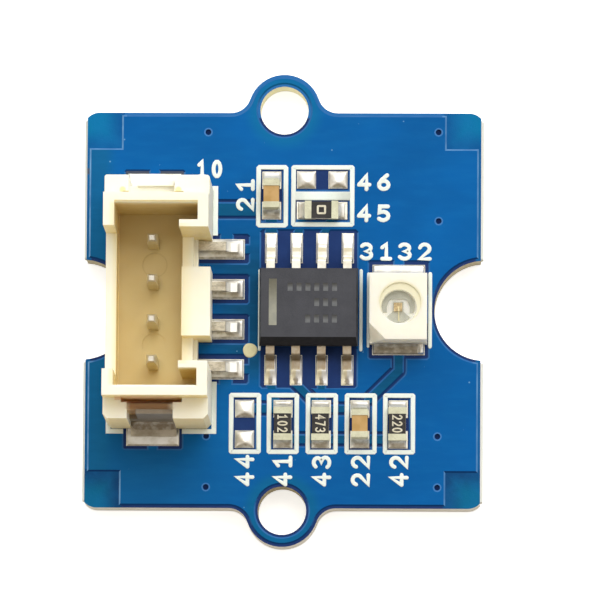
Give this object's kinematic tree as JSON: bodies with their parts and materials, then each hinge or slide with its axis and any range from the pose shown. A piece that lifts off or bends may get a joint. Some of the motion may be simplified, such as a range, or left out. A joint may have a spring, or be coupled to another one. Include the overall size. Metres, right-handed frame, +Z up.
{
  "type": "light sensor module",
  "caption": "Small blue circuit board with two screw ears and side notches, carrying a shrouded cable socket, an amplifier, a windowed photodiode and chip parts.",
  "frame": {"origin": "middle of the board outline, on the board's underside", "axes": "+Z up out of the board, +Y along the row of socket pins through both screw ears, +X from the socket towards the photodiode"},
  "size_m": [0.0198, 0.0236, 0.0078],
  "materials": {
    "board_mask": "satin",
    "copper_mask": "satin",
    "tin": "satin",
    "solder": "polished",
    "tinned_brass": "satin",
    "housing": "matte",
    "epoxy": "matte",
    "diode_case": "matte",
    "diode_window": "clear",
    "silver": "satin",
    "die": "satin",
    "gold": "polished",
    "alumina": "matte",
    "resistor_coat": "satin",
    "capacitor_ceramic": "matte"
  },
  "bodies": {
    "root": {"amplifier_body": "epoxy", "amplifier_lead_1": "tin", "amplifier_lead_2": "tin", "amplifier_lead_3": "tin", "amplifier_lead_4": "tin", "amplifier_lead_5": "tin", "amplifier_lead_6": "tin", "amplifier_lead_7": "tin", "amplifier_lead_8": "tin", "amplifier_pads": "tin", "amplifier_solder": "solder", "capacitor_lower_body": "capacitor_ceramic", "capacitor_lower_ends": "tin", "capacitor_upper_body": "capacitor_ceramic", "capacitor_upper_ends": "tin", "chip_pads": "tin", "chip_solder": "solder", "circuit_board": "board_mask", "connector_anchor_lower": "tinned_brass", "connector_anchor_upper": "tinned_brass", "connector_housing": "housing", "connector_pads": "tin", "connector_pin_1": "tinned_brass", "connector_pin_2": "tinned_brass", "connector_pin_3": "tinned_brass", "connector_pin_4": "tinned_brass", "connector_solder": "solder", "copper_plane": "copper_mask", "copper_tracks": "copper_mask", "photodiode_case": "diode_case", "photodiode_die": "die", "photodiode_frame": "silver", "photodiode_pads": "tin", "photodiode_solder": "solder", "photodiode_terminal_lower": "tin", "photodiode_terminal_upper": "tin", "photodiode_window": "diode_window", "photodiode_wire": "gold", "resistor_1_body": "alumina", "resistor_1_coat": "resistor_coat", "resistor_1_ends": "tin", "resistor_2_body": "alumina", "resistor_2_coat": "resistor_coat", "resistor_2_ends": "tin", "resistor_3_body": "alumina", "resistor_3_coat": "resistor_coat", "resistor_3_ends": "tin", "resistor_4_body": "alumina", "resistor_4_coat": "resistor_coat", "resistor_4_ends": "tin", "spare_pad_solder": "solder", "via_barrels": "tin"}
  },
  "joints": []
}
